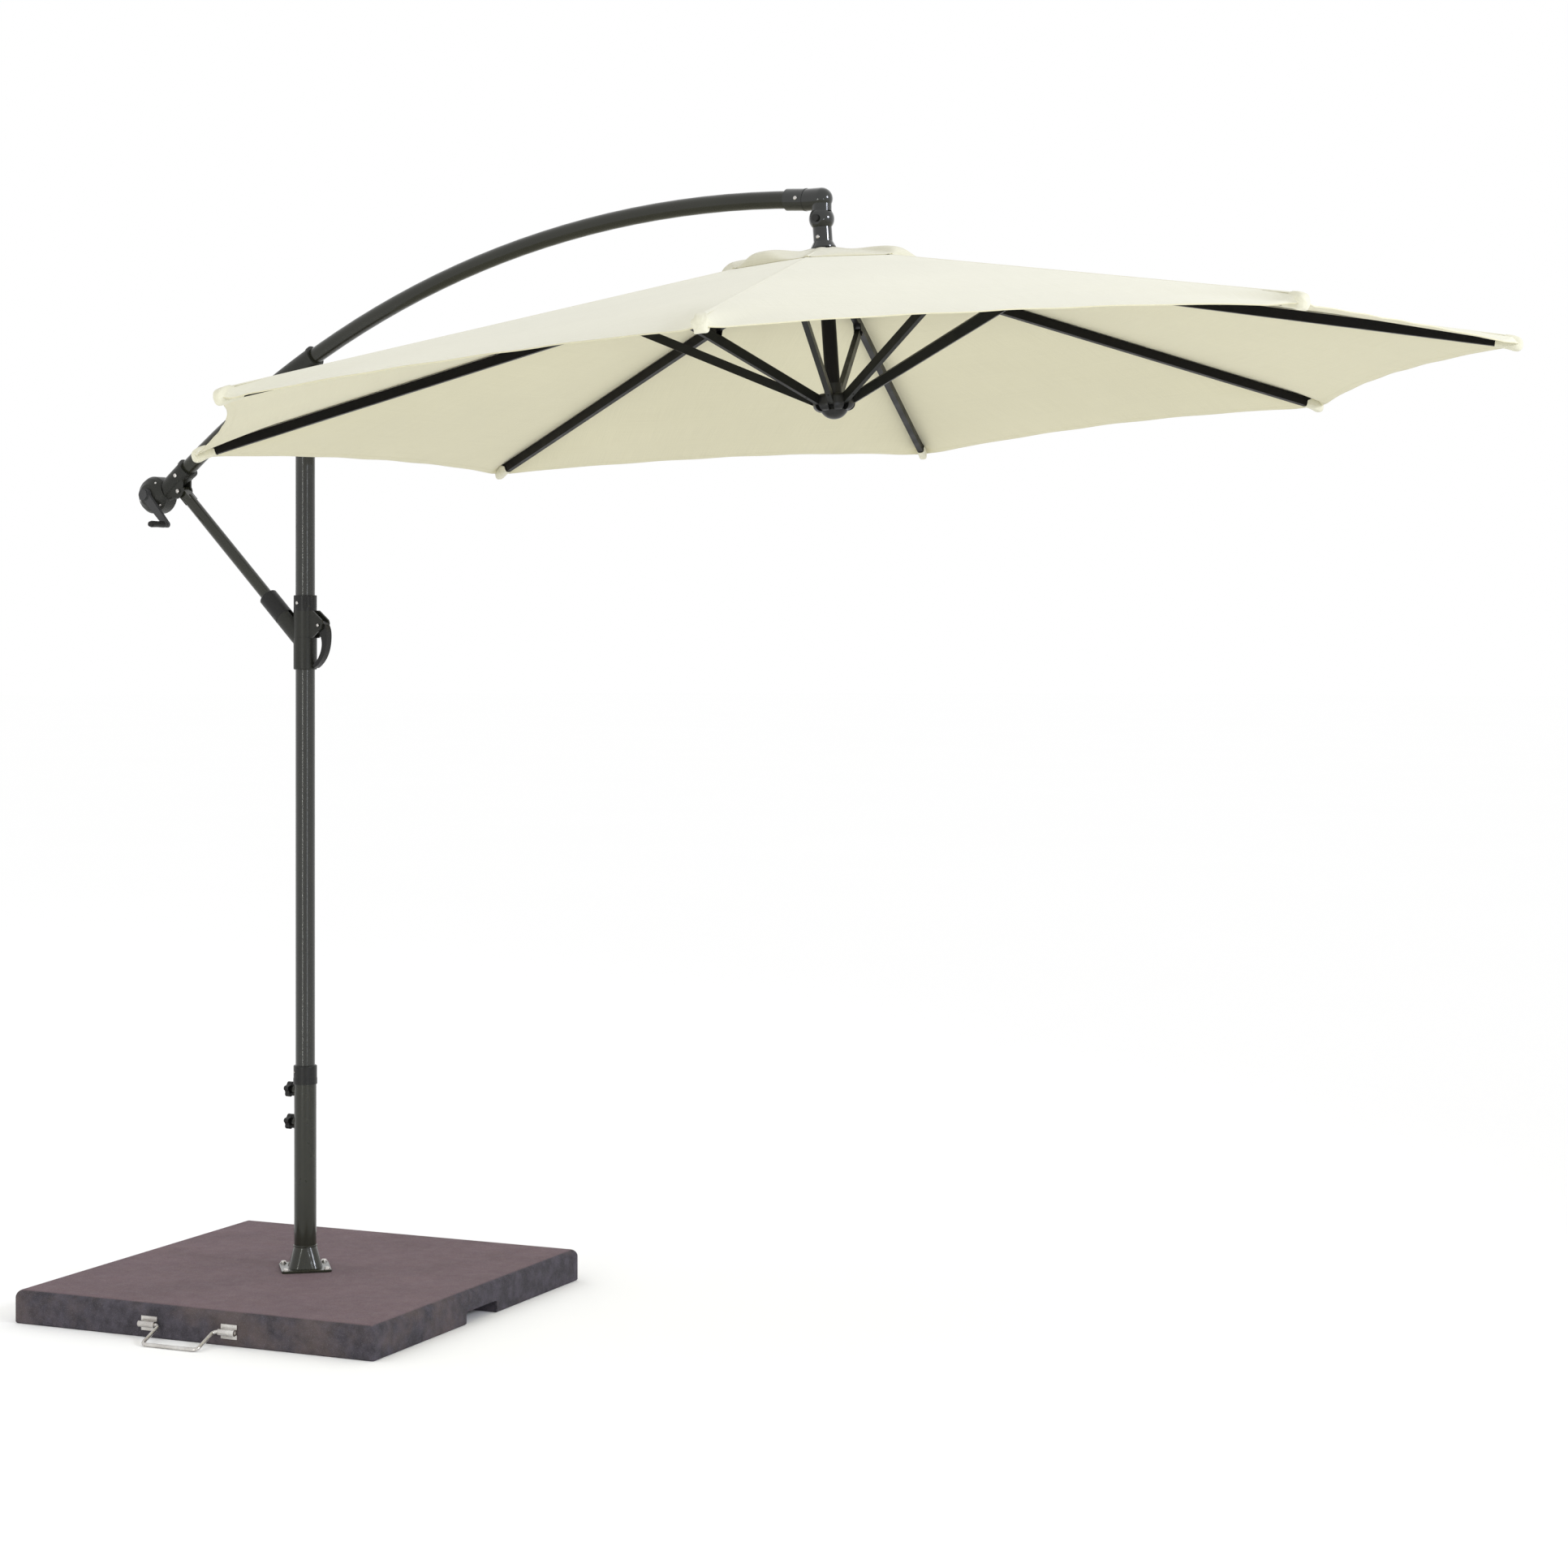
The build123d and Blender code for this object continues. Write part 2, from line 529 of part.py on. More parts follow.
def lower_hub():
    """The slotted hub at the foot of the struts, with its neck and domed end."""
    low = -HUB_DEPTH
    core = upright(HUB_CORE_R, low - 24, low + 20) + upright(HUB_CORE_R - 2, low + 20, low + 42)
    lobes = upright(HUB_R, low - 20, low + 18)
    rims = lobes.edges().filter_by(GeomType.CIRCLE).sort_by(Axis.Z)
    lobes = fillet(rims[0], 15.0)
    lobes = fillet(lobes.edges().filter_by(GeomType.CIRCLE).sort_by(Axis.Z)[-1], 9.0)
    slot = Pos(HUB_CORE_R + 0.5, 0, 0) * Box(40, STRUT_WIDE + 2 * CLEAR, 4 * HUB_DEPTH, align=FROM_X)
    for angle in RIB_ANGLES:
        lobes -= Rot(0, 0, angle) * slot
    cap = Sphere(HUB_DOME_R) & Pos(0, 0, -HUB_DOME_R) * Box(80, 80, 40)
    hub = core + lobes + Pos(0, 0, low - 4) * cap
    return CANOPY.location * (hub - upright(MAST_R + 0.02, low - 8, low + 50))


# ---- canopy -------------------------------------------------------------
def rib(angle):
    """A hollow canopy rib with its hinge tongue, and the bracket that its strut hangs from."""
    bar = Pos(22, 0, 0) * Box(RIB_LENGTH - 22, RIB_WIDE, RIB_HIGH, align=FROM_X)
    bar -= Pos(34, 0, 0) * Box(RIB_LENGTH, RIB_WIDE - 2 * RIB_WALL, RIB_HIGH - 2 * RIB_WALL, align=FROM_X)
    below = -RIB_HIGH / 2 - 1
    slant = [(RIB_LENGTH - RIB_TIP, below), (RIB_LENGTH + 1, below), (RIB_LENGTH + 1, RIB_HIGH / 2 - RIB_TIP_HIGH)]
    bar -= plate(slant, -RIB_WIDE, RIB_WIDE)
    tongue = Box(30, 8, 14, align=FROM_X) + pin(0, 0, 7, -4, 4) + pin(0, 0, PIN_R, -8.2, 8.2)
    shape = bar + tongue
    ear = [(-20, -7), (20, -7), (9, -BRACKET_DROP), (-9, -BRACKET_DROP)]
    for side in (-1, 1):
        low, high = sorted((side * RIB_WIDE / 2, side * (RIB_WIDE / 2 + 2)))
        cheek = plate(ear, low, high) + pin(0, -BRACKET_DROP, 9, low, high)
        shape += Pos(BRACKET_AT, 0, 0) * cheek
    shape += pin(BRACKET_AT, -BRACKET_DROP, PIN_R, -10.5, 10.5)
    return canopy_place(angle) * Pos(RIB_PIVOT_R, 0, -RIB_PIVOT_DEPTH) * Rot(0, RIB_SLOPE, 0) * shape


def stay(angle):
    """The flat strut from a rib's bracket to the lower hub."""
    x, z = BRACKET_OPEN
    bar = Pos(12, 0, 0) * Box(STAY_LENGTH - 20, STRUT_WIDE, STRUT_HIGH, align=FROM_X)
    hollow = Box(STAY_LENGTH - 36, STRUT_WIDE - 2 * RIB_WALL, STRUT_HIGH - 2 * RIB_WALL, align=FROM_X)
    bar -= Pos(16, 0, 0) * hollow
    bar -= Pos(STAY_LENGTH - 40, 0, -STRUT_HIGH / 2) * Cylinder(2, 6)
    bar += Box(20, STRUT_WIDE, STRUT_HIGH - 2, align=FROM_X) + pin(0, 0, 9, -6, 6)
    bar += pin(STAY_LENGTH, 0, 8, -6, 6) + Pos(STAY_LENGTH - 20, 0, 0) * Box(20, STRUT_WIDE, 16, align=FROM_X)
    bar -= pin(0, 0, PIN_R + RUN_GAP, -10, 10)
    return canopy_place(angle) * Pos(x, 0, z) * Rot(0, 180 - STAY_SLOPE, 0) * Rot(180, 0, 0) * bar


def gore_layer(side, start_r, end_r, hem_hollow, lift):
    """Half of a flat gore, from its crease (X) to its rib, between two corner radii."""
    crease = hypot(GORE_MID_R, CANOPY_DROP) / CANOPY_R
    flank = GORE_HALF_HEM / CANOPY_R
    edge = CLEAR / cos(atan(flank / crease))
    outline = Polygon(
        (start_r * crease, side * CLEAR),
        (end_r * crease - hem_hollow, side * CLEAR),
        (end_r * crease, side * (end_r * flank - edge)),
        (start_r * crease, side * (start_r * flank - edge)),
        align=None,
    )
    return Pos(0, 0, lift) * extrude(outline, FABRIC_THICK, dir=(0, 0, 1))


def half_gore(angle, side):
    """Half a canopy gore, with the piece of the vent cap above it."""
    layers = gore_layer(side, 60.0, CANOPY_R, HEM_HOLLOW, 0.0)
    layers += gore_layer(side, 36.0, VENT_R, 0.0, VENT_LIFT)
    return canopy_place(angle) * Rot(0, GORE_SLOPE, 0) * layers


# ---- the pieces ---------------------------------------------------------
pieces = {
    "base_slab": base_slab(),
    "base_tube": base_tube(),
    "base_screws": base_screws(),
    "tube_collar": tube_collar(),
    "handle_bushes": handle_bushes(),
    "carry_handle": carry_handle(),
    "upper_pole": upper_pole(),
    "pole_head": pole_head(),
    "arm_tube": arm_tube(),
    "arm_sleeve": arm_sleeve(),
    "arm_bolts": arm_bolts(),
    "crank_housing": crank_housing(),
    "housing_cover": housing_cover(),
    "rope_drum": rope_drum(),
    "crank_arm": crank_arm(),
    "crank_grip": crank_grip(),
    "strut_tube": strut_tube(),
    "strut_socket": strut_socket(),
    "runner_body": runner_body(),
    "runner_collar": runner_collar(),
    "latch_lever": latch_lever(),
    "elbow": elbow(),
    "mast_socket": mast_socket(),
    "upper_hub": upper_hub(),
    "mast_tube": mast_tube(),
    "lower_hub": lower_hub(),
}
for name, height in KNOB_HEIGHTS.items():
    pieces[f"clamp_knob_{name}"] = clamp_knob(height)
for number, angle in enumerate(RIB_ANGLES, start=1):
    pieces[f"rib_{number}"] = rib(angle)
    pieces[f"rib_strut_{number}"] = stay(angle)
    middle = angle + GORE_TURN / 2
    pieces[f"gore_{number}_near"] = half_gore(middle, -1)
    pieces[f"gore_{number}_far"] = half_gore(middle, 1)

os.makedirs("parts", exist_ok=True)
for name, shape in pieces.items():
    export_step(Compound(children=shape) if isinstance(shape, list) else shape, f"parts/{name}.step")
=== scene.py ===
import math

import bpy
import numpy as np
from mathutils import Matrix, Vector
from mathutils.bvhtree import BVHTree


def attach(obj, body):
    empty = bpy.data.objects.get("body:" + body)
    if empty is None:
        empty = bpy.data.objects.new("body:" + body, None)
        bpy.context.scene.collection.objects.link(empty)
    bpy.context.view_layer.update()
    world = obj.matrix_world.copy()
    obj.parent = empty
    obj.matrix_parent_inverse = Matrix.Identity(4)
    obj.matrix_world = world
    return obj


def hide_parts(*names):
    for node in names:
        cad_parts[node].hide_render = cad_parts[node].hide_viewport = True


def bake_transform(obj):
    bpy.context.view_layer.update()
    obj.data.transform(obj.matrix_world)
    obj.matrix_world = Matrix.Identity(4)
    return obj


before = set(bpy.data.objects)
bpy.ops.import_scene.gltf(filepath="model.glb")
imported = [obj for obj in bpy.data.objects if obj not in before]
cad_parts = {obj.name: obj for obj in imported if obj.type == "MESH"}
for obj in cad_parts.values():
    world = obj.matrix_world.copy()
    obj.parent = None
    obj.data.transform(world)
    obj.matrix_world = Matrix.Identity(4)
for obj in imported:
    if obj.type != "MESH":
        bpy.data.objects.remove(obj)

for stray in ("Cube", "Light", "Camera"):
    if stray in bpy.data.objects:
        bpy.data.objects.remove(bpy.data.objects[stray])
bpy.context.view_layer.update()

# ---------------------------------------------------------------- sizes, in metres
TILT = math.radians(4.5)
HINGE = Vector((1.505, 0.0, 2.582))
HINGE_TO_APEX = 0.067          # from the tilt hinge down to the canopy's apex
TO_ROW = (Matrix.Translation(HINGE) @ Matrix.Rotation(-TILT, 4, "Y")
          @ Matrix.Translation((0, 0, -HINGE_TO_APEX)))
GORES = 8
STEP_ANGLE = math.tau / GORES
FIRST_RIB = STEP_ANGLE / 2
CORNER_R = 1.500               # radii are measured along the ribs, in plan
CORNER_DROP = 0.330
RIB_FALL = CORNER_DROP / CORNER_R
HEM_HOLLOW = 0.045             # how far the hem curves in at the middle of a gore
MAIN_INNER_R = 0.060
VENT_INNER_R = 0.036
VENT_R = 0.246
CLOTH_THICK = 0.0012
HEM_WIDTH = 0.018
HEM_SAG = 0.0135
TIP_DIP = 0.0140               # how far a corner drops past the rib's end
RIB_END = 1.482
SEAM_RISE = 0.0014             # the vent cap's height over the canopy's seam

# the vent cap, gore by gore: how high each panel puffs up, and how far its crest leans to one rib
VENT_PUFF = (0.010, 0.014, 0.012, 0.016, 0.026, 0.025, 0.006, 0.020)
VENT_LEAN = (0.0, 0.1, -0.1, 0.1, 0.9, 1.0, 0.0, 0.9)


# ---------------------------------------------------------------- node helpers
class Shade:
    """A small writer of node trees around one Principled shader."""

    def __init__(self, name, base, rough, metallic=0.0, specular=0.5):
        self.mat = bpy.data.materials.new(name)
        self.mat.use_nodes = True
        self.tree = self.mat.node_tree
        self.shader = self.tree.nodes["Principled BSDF"]
        self.base = base
        self.set("Base Color", (*base, 1.0))
        self.set("Roughness", rough)
        self.set("Metallic", metallic)
        self.set("Specular IOR Level", specular)
        self.mat.diffuse_color = (*base, 1.0)
        self.height = None

    def set(self, socket, value):
        self.shader.inputs[socket].default_value = value

    def add(self, kind, **settings):
        node = self.tree.nodes.new(kind)
        for key, value in settings.items():
            setattr(node, key, value)
        return node

    def link(self, source, target):
        self.tree.links.new(source, target)

    def feed(self, node, **inputs):
        for key, value in inputs.items():
            socket = node.inputs[key.replace("_", " ")]
            if hasattr(value, "is_output"):
                self.link(value, socket)
            else:
                socket.default_value = value
        return node

    def place(self, scale=(1, 1, 1), uv=None):
        if uv:
            start = self.add("ShaderNodeUVMap", uv_map=uv).outputs["UV"]
        else:
            start = self.add("ShaderNodeTexCoord").outputs["Object"]
        mapping = self.add("ShaderNodeMapping")
        self.feed(mapping, Vector=start, Scale=scale)
        return mapping.outputs["Vector"]

    def noise(self, scale, detail=3.0, rough=0.5, vector=None, stretch=(1, 1, 1)):
        node = self.add("ShaderNodeTexNoise")
        self.feed(node, Vector=vector or self.place(stretch), Scale=scale, Detail=detail, Roughness=rough)
        return node.outputs["Fac"]

    def math(self, what, a, b=0.0, clamp=False):
        node = self.add("ShaderNodeMath", operation=what, use_clamp=clamp)
        for socket, value in zip(node.inputs, (a, b)):
            if hasattr(value, "is_output"):
                self.link(value, socket)
            else:
                socket.default_value = value
        return node.outputs[0]

    def span(self, value, low, high, to_low=0.0, to_high=1.0):
        node = self.add("ShaderNodeMapRange")
        self.feed(node, Value=value, From_Min=low, From_Max=high, To_Min=to_low, To_Max=to_high)
        return node.outputs["Result"]

    def mix(self, factor, one, two):
        node = self.add("ShaderNodeMix", data_type="RGBA")
        for socket, value in ((node.inputs[0], factor), (node.inputs[6], one), (node.inputs[7], two)):
            if hasattr(value, "is_output"):
                self.link(value, socket)
            elif isinstance(value, tuple):
                socket.default_value = (*value, 1.0)
            else:
                socket.default_value = value
        return node.outputs[2]

    def colour(self, socket):
        self.link(socket, self.shader.inputs["Base Color"])

    def rough(self, socket):
        self.link(socket, self.shader.inputs["Roughness"])

    def bump(self, socket, distance, strength=1.0):
        node = self.add("ShaderNodeBump")
        self.feed(node, Height=socket, Distance=distance, Strength=strength)
        if self.height is not None:
            self.link(self.height, node.inputs["Normal"])
        self.height = node.outputs["Normal"]
        self.link(self.height, self.shader.inputs["Normal"])


def tint(colour, factor):
    return tuple(min(1.0, c * factor) for c in colour)


# ---------------------------------------------------------------- materials
def stone():
    # painted shade: the sides get a far darker tone than the top, as shade on a slab lit from above; upward
    # picks the tone by facing
    top, side = (0.146, 0.100, 0.115), (0.055, 0.049, 0.061)
    s = Shade("stone_slab", top, 0.86, specular=0.32)
    facing = s.add("ShaderNodeSeparateXYZ")
    s.link(s.add("ShaderNodeNewGeometry").outputs["Normal"], facing.inputs[0])
    upward = s.span(facing.outputs["Z"], 0.86, 0.985)
    cloud = s.noise(5.5, 5.0, 0.62)
    mottle = s.noise(34.0, 4.0, 0.6)
    grain = s.noise(520.0, 2.0, 0.7)
    streak = s.noise(16.0, 4.0, 0.65, stretch=(1.0, 5.0, 1.0))
    top_tone = s.mix(s.span(cloud, 0.35, 0.68), tint(top, 0.84), tint(top, 1.12))
    top_tone = s.mix(s.span(streak, 0.42, 0.66, 0.0, 0.34), top_tone, (0.150, 0.100, 0.094))
    top_tone = s.mix(s.span(grain, 0.52, 0.70, 0.0, 0.42), top_tone, (0.30, 0.235, 0.235))
    top_tone = s.mix(s.span(grain, 0.46, 0.34, 0.0, 0.55), top_tone, (0.070, 0.052, 0.060))
    # painted shade: the darker tone of the sides, with its own mottle
    shaded_side_tone = s.mix(s.span(mottle, 0.36, 0.66), tint(side, 0.52), tint(side, 1.28))
    shaded_side_tone = s.mix(s.span(cloud, 0.50, 0.66, 0.0, 0.50), shaded_side_tone, (0.120, 0.088, 0.078))
    shaded_side_tone = s.mix(s.span(grain, 0.54, 0.72, 0.0, 0.40), shaded_side_tone, (0.20, 0.185, 0.205))
    s.colour(s.mix(upward, shaded_side_tone, top_tone))
    s.rough(s.span(mottle, 0.3, 0.7, 0.74, 0.96))
    s.bump(grain, 0.0009, 0.9)
    s.bump(mottle, 0.0035, 0.7)
    s.bump(s.noise(120.0, 4.0, 0.7), 0.0016, 0.8)
    return s.mat


def paint(name, base, rough, specular=0.35, coat=0.0, peel=0.000012, worn=0.0):
    """Satin powder coat: orange peel, faint dust in the tone, lighter rubbed patches."""
    s = Shade(name, base, rough, specular=specular)
    s.set("Coat Weight", coat)
    s.set("Coat Roughness", 0.09)
    patch = s.noise(3.2, 4.0, 0.6)
    fleck = s.noise(900.0, 2.0, 0.6)
    tone = s.mix(s.span(patch, 0.36, 0.68), tint(base, 0.86), tint(base, 1.14))
    tone = s.mix(s.span(fleck, 0.60, 0.78, 0.0, 0.35), tone, tint(base, 1.9))
    if worn:
        scuff = s.noise(28.0, 5.0, 0.75, stretch=(1.0, 1.0, 0.25))
        tone = s.mix(s.span(scuff, 0.64, 0.74, 0.0, worn), tone, tint(base, 2.4))
    s.colour(tone)
    s.rough(s.span(s.noise(14.0, 4.0, 0.6), 0.3, 0.7, rough - 0.05, rough + 0.08))
    s.bump(s.noise(420.0, 2.0, 0.5), peel, 0.8)
    return s.mat


def plastic(name, base, rough, grain_depth=0.00002, specular=0.3):
    """Moulded plastic with a fine spark-eroded grain."""
    s = Shade(name, base, rough, specular=specular)
    grain = s.noise(1400.0, 2.0, 0.6)
    flow = s.noise(9.0, 4.0, 0.6)
    tone = s.mix(s.span(flow, 0.35, 0.7), tint(base, 0.82), tint(base, 1.22))
    s.colour(s.mix(s.span(grain, 0.56, 0.76, 0.0, 0.3), tone, tint(base, 2.0)))
    s.rough(s.span(flow, 0.3, 0.7, rough - 0.05, rough + 0.07))
    s.bump(grain, grain_depth, 0.7)
    return s.mat


def steel():
    s = Shade("steel", (0.62, 0.60, 0.57), 0.27, metallic=1.0)
    brushed = s.noise(240.0, 3.0, 0.6, stretch=(0.15, 1.0, 1.0))
    haze = s.noise(22.0, 4.0, 0.6)
    s.colour(s.mix(s.span(haze, 0.35, 0.7), (0.50, 0.475, 0.45), (0.70, 0.685, 0.66)))
    s.rough(s.span(brushed, 0.3, 0.7, 0.20, 0.40))
    s.bump(brushed, 0.00001, 0.6)
    return s.mat


def cloth(name, base, shade):
    """Plain-woven polyester. The Weave map is in metres; Edge holds the metres to the seam and to the hem."""
    s = Shade(name, base, 0.88, specular=0.22)
    s.set("Sheen Weight", 0.22)
    s.set("Sheen Roughness", 0.45)
    weave = s.place(uv="Weave")
    threads = []
    for direction in ("X", "Y"):
        wave = s.add("ShaderNodeTexWave", wave_type="BANDS", bands_direction=direction, wave_profile="SIN")
        s.feed(wave, Vector=weave, Scale=260.0, Distortion=0.6, Detail=1.0, Detail_Scale=1.4)
        threads.append(wave.outputs["Fac"])
    cross = s.math("MULTIPLY", threads[0], threads[1])
    slub_x = s.add("ShaderNodeTexNoise")
    s.feed(slub_x, Vector=s.place((6.0, 900.0, 1.0), uv="Weave"), Scale=1.0, Detail=2.0)
    slub_y = s.add("ShaderNodeTexNoise")
    s.feed(slub_y, Vector=s.place((900.0, 6.0, 1.0), uv="Weave"), Scale=1.0, Detail=2.0)
    slub = s.math("ADD", slub_x.outputs["Fac"], slub_y.outputs["Fac"])
    tone = s.mix(s.span(s.noise(1.6, 3.0, 0.5), 0.36, 0.66), tint(base, 0.965), tint(base, 1.02))
    tone = s.mix(s.span(slub, 0.86, 1.2, 0.0, 0.30), tone, shade)
    tone = s.mix(s.span(cross, 0.0, 0.5, 0.16, 0.0), tone, shade)
    edge = s.add("ShaderNodeSeparateXYZ")
    s.link(s.add("ShaderNodeUVMap", uv_map="Edge").outputs["UV"], edge.inputs[0])
    along = s.add("ShaderNodeSeparateXYZ")
    s.link(s.add("ShaderNodeUVMap", uv_map="Weave").outputs["UV"], along.inputs[0])

    def stitches(distance, at, run):
        """One row of lock stitches at this distance from an edge."""
        near = s.math("ABSOLUTE", s.math("SUBTRACT", distance, at))
        row = s.span(near, 0.0011, 0.0005)
        beat = s.math("FRACT", s.math("MULTIPLY", run, 1.0 / 0.0042))
        dash = s.span(s.math("ABSOLUTE", s.math("SUBTRACT", beat, 0.5)), 0.40, 0.32)
        return row, s.math("MULTIPLY", row, dash)

    hem_row, hem_dash = stitches(edge.outputs["Y"], 0.0155, along.outputs["X"])
    seam_row, seam_dash = stitches(edge.outputs["X"], 0.0052, along.outputs["Y"])
    rows = s.math("MAXIMUM", hem_row, seam_row)
    dashes = s.math("MAXIMUM", hem_dash, seam_dash)
    tone = s.mix(s.math("MULTIPLY", rows, 0.30), tone, shade)
    tone = s.mix(s.math("MULTIPLY", dashes, 0.65), tone, tint(base, 1.03))
    s.colour(tone)
    s.bump(cross, 0.00018, 0.55)
    s.bump(slub, 0.00010, 0.5)
    s.bump(s.math("SUBTRACT", dashes, rows), 0.0006, 0.6)
    return s.mat


MATERIALS = {
    "stone_slab": stone(),
    "frame_paint": paint("frame_paint", (0.0165, 0.0170, 0.0105), 0.28, specular=0.2, coat=0.5, worn=0.12),
    "elbow_paint": paint("elbow_paint", (0.0110, 0.0125, 0.0110), 0.20, specular=0.2, coat=0.9, worn=0.10),
    "rib_paint": paint("rib_paint", (0.0042, 0.0038, 0.0038), 0.42, specular=0.12),
    "dark_plastic": plastic("dark_plastic", (0.016, 0.0165, 0.013), 0.38),
    "black_plastic": plastic("black_plastic", (0.0085, 0.0085, 0.0080), 0.34),
    "steel": steel(),
    "canopy_cloth": cloth("canopy_cloth", (0.730, 0.715, 0.590), (0.57, 0.55, 0.42)),
}
# painted shade: the cloth's underside is a darker, warmer copy of the canopy cloth, standing in for the shade
# under the canopy and the light glowing through it
SHADED_UNDERSIDE = cloth("canopy_underside_painted_shade", (0.670, 0.636, 0.450), (0.52, 0.49, 0.33))
# painted shade: the corner pockets get a darker copy of the canopy cloth, as shade under the canopy's corners
SHADED_POCKET_CLOTH = cloth("pocket_cloth", (0.690, 0.670, 0.535), (0.54, 0.52, 0.39))
# painted shade: the vent cap's panels get a darker copy of the canopy cloth, as shade on them
SHADED_VENT_CLOTH = cloth("vent_cloth", (0.650, 0.630, 0.500), (0.51, 0.49, 0.37))
SPECIAL = {
    "upper_pole": paint("pole_paint", (0.0180, 0.0185, 0.0155), 0.24, specular=0.2, coat=0.6,
                        peel=0.000004, worn=0.10),
    "crank_arm": plastic("speckled_alloy", (0.040, 0.040, 0.041), 0.46, 0.00008),
    "arm_bolts": plastic("blackened_bolt", (0.018, 0.018, 0.017), 0.36),
}
for n in range(1, GORES + 1):
    SPECIAL[f"rib_strut_{n}"] = SPECIAL.get("rib_strut_1") or paint(
        "strut_paint", (0.0095, 0.0098, 0.0080), 0.40, specular=0.16)
for node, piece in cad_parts.items():
    for place in piece.material_slots:
        place.material = SPECIAL.get(node) or MATERIALS[place.material.name.split(".")[0]]


# ---------------------------------------------------------------- mesh helpers
def add_piece(name, points, faces, materials, smooth=True):
    mesh = bpy.data.meshes.new(name)
    mesh.from_pydata([tuple(map(float, p)) for p in points], [], faces)
    for material in materials:
        mesh.materials.append(material)
    mesh.polygons.foreach_set("use_smooth", [smooth] * len(mesh.polygons))
    mesh.validate()
    piece = bpy.data.objects.new(name, mesh)
    bpy.context.collection.objects.link(piece)
    return piece


def grid_faces(rows, columns, first=0, flip=False, wrap=False):
    faces = []
    for i in range(rows - 1):
        for j in range(columns if wrap else columns - 1):
            k = (j + 1) % columns
            quad = [first + i * columns + j, first + i * columns + k, first + (i + 1) * columns + k,
                    first + (i + 1) * columns + j]
            faces.append(quad[::-1] if flip else quad)
    return faces


def border(rows, columns):
    """The grid's outline, in order, once round."""
    top = [j for j in range(columns)]
    right = [i * columns + columns - 1 for i in range(1, rows)]
    bottom = [(rows - 1) * columns + j for j in range(columns - 2, -1, -1)]
    left = [i * columns for i in range(rows - 2, 0, -1)]
    return top + right + bottom + left


def put_map(mesh, name, values):
    """A UV map with one value per point."""
    layer = mesh.uv_layers.new(name=name)
    corners = np.zeros(len(mesh.loops), np.int32)
    mesh.loops.foreach_get("vertex_index", corners)
    layer.data.foreach_set("uv", values[corners].astype(np.float32).ravel())


def shell(name, upper, lower, weave, edge, materials):
    """A closed sheet between two grids of the same size; the upper skin gets the first material."""
    rows, columns = upper.shape[:2]
    count = rows * columns
    points = np.concatenate([upper.reshape(-1, 3), lower.reshape(-1, 3)])
    faces = grid_faces(rows, columns, 0) + grid_faces(rows, columns, count, flip=True)
    upper_faces = (rows - 1) * (columns - 1)
    loop = border(rows, columns)
    for a, b in zip(loop, loop[1:] + loop[:1]):
        faces.append([b, a, a + count, b + count])
    piece = add_piece(name, points, faces, materials)
    for polygon in piece.data.polygons[upper_faces:]:
        polygon.material_index = len(materials) - 1
    put_map(piece.data, "Weave", np.concatenate([weave.reshape(-1, 2)] * 2))
    put_map(piece.data, "Edge", np.concatenate([edge.reshape(-1, 2)] * 2))
    return piece


def to_row(points):
    """From the canopy's own frame, with the apex at its origin, to the row frame."""
    matrix = np.array(TO_ROW)
    return points @ matrix[:3, :3].T + matrix[:3, 3]


def smooth(x):
    """0 below 0, 1 above 1, and an even S between them."""
    x = np.clip(x, 0.0, 1.0)
    return x * x * (3 - 2 * x)


# ---------------------------------------------------------------- canopy
def rib_angle(n):
    return FIRST_RIB + STEP_ANGLE * (n - 1)


def rib_ray(n):
    """The level direction in which rib n points, in the canopy's frame."""
    a = rib_angle(n)
    return np.array([math.cos(a), math.sin(a), 0.0])


def rib_axes(n):
    """Rib n's ray, the direction to its left, and the upward normal of the seam along it."""
    ray = rib_ray(n)
    side = np.array([-math.sin(rib_angle(n)), math.cos(rib_angle(n)), 0.0])
    up = np.array([RIB_FALL * ray[0], RIB_FALL * ray[1], 1.0])
    return ray, side, up / np.linalg.norm(up)


def gore_spread():
    """Stations across a gore from 0 to 1, close together at both seams and at the middle fold."""
    side = [0.0, 0.004, 0.009, 0.016, 0.026, 0.040, 0.060]
    middle = [0.0012, 0.0026, 0.0042, 0.0060, 0.0080, 0.0105, 0.014, 0.020, 0.030]
    flank = list(np.linspace(0.080, 0.465, 17))
    half = side + flank + [0.5 - m for m in reversed(middle)]
    return np.array(half + [0.5] + [1 - h for h in reversed(half)])


def gore_normal(n):
    """The upward normal of gore n's plane, in the canopy's frame."""
    middle = rib_angle(n) + STEP_ANGLE / 2
    fall = RIB_FALL / math.cos(STEP_ANGLE / 2)
    normal = np.array([fall * math.cos(middle), fall * math.sin(middle), 1.0])
    return normal / np.linalg.norm(normal)


def on_gore(n, r, s):
    """Points of gore n's plane at corner radius r and share s of the way to the next rib."""
    ray = (1 - s)[..., None] * rib_ray(n) + s[..., None] * rib_ray(n + 1)
    points = r[..., None] * ray
    points[..., 2] = -RIB_FALL * r
    return points


